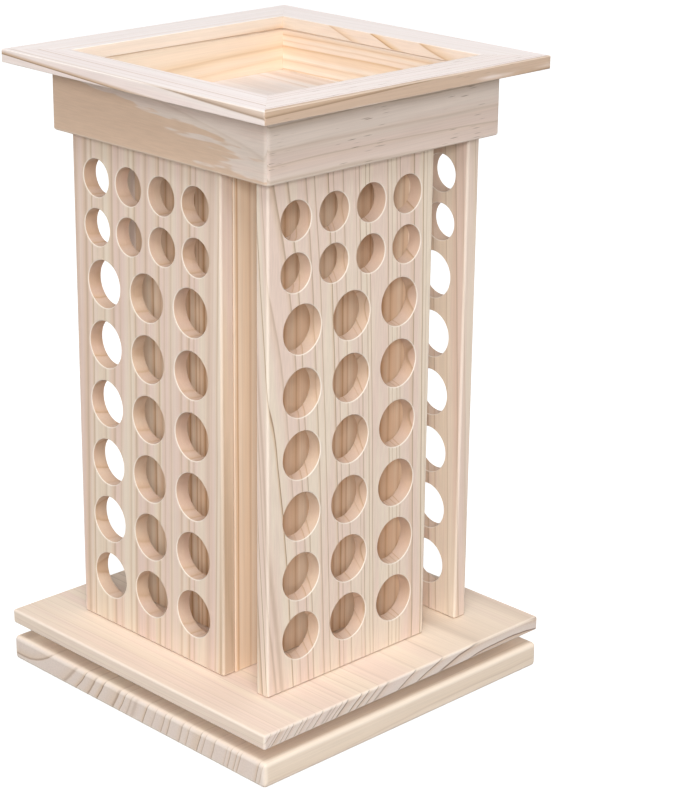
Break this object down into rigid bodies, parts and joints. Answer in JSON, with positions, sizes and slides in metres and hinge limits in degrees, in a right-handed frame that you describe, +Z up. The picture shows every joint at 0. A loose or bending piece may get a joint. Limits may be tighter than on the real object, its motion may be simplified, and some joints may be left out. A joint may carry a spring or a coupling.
{
  "type": "rotating essential oil display rack",
  "caption": "Pine rack that turns on a ball-bearing base, with drilled upright panels set in a pinwheel to hold essential oil bottles, under an open tray with a mitred rim.",
  "frame": {"origin": "middle of the base board's underside, on the turning axis", "axes": "+Z up along the turning axis; -Y faces the front panel, +X the right panel"},
  "size_m": [0.24, 0.24, 0.4],
  "materials": {
    "board_pine": "sanded, unfinished",
    "panel_pine": "sanded, unfinished",
    "core_pine": "sanded, unfinished",
    "zinc_steel": "zinc plated",
    "ball_steel": "polished"
  },
  "bodies": {
    "base": {"base_board": "board_pine", "bearing_lower_plate": "zinc_steel", "base_screw_1": "zinc_steel", "base_screw_2": "zinc_steel", "base_screw_3": "zinc_steel", "base_screw_4": "zinc_steel"},
    "balls": {"ball_ring": "ball_steel"},
    "rack": {"bearing_upper_plate": "zinc_steel", "turntable_board": "board_pine", "tray_floor": "board_pine", "turntable_screw_1": "zinc_steel", "turntable_screw_2": "zinc_steel", "turntable_screw_3": "zinc_steel", "turntable_screw_4": "zinc_steel", "panel_front": "panel_pine", "partition_front": "core_pine", "apron_front": "board_pine", "rim_front": "board_pine", "panel_screw_front_outer": "zinc_steel", "panel_screw_front_inner": "zinc_steel", "panel_right": "panel_pine", "partition_right": "core_pine", "apron_right": "board_pine", "rim_right": "board_pine", "panel_screw_right_outer": "zinc_steel", "panel_screw_right_inner": "zinc_steel", "panel_back": "panel_pine", "partition_back": "core_pine", "apron_back": "board_pine", "rim_back": "board_pine", "panel_screw_back_outer": "zinc_steel", "panel_screw_back_inner": "zinc_steel", "panel_left": "panel_pine", "partition_left": "core_pine", "apron_left": "board_pine", "rim_left": "board_pine", "panel_screw_left_outer": "zinc_steel", "panel_screw_left_inner": "zinc_steel"}
  },
  "joints": [
    {"name": "turntable_spin", "type": "hinge", "parent": "base", "child": "rack", "pos_m": [0, 0, 0], "axis": [0, 0, 1], "continuous": true},
    {"name": "ball_orbit", "type": "hinge", "parent": "base", "child": "balls", "pos_m": [0, 0, 0], "axis": [0, 0, 1], "continuous": true}
  ],
  "couplings": [
    {"joint": "ball_orbit", "follows": "turntable_spin", "ratio": 0.5}
  ]
}
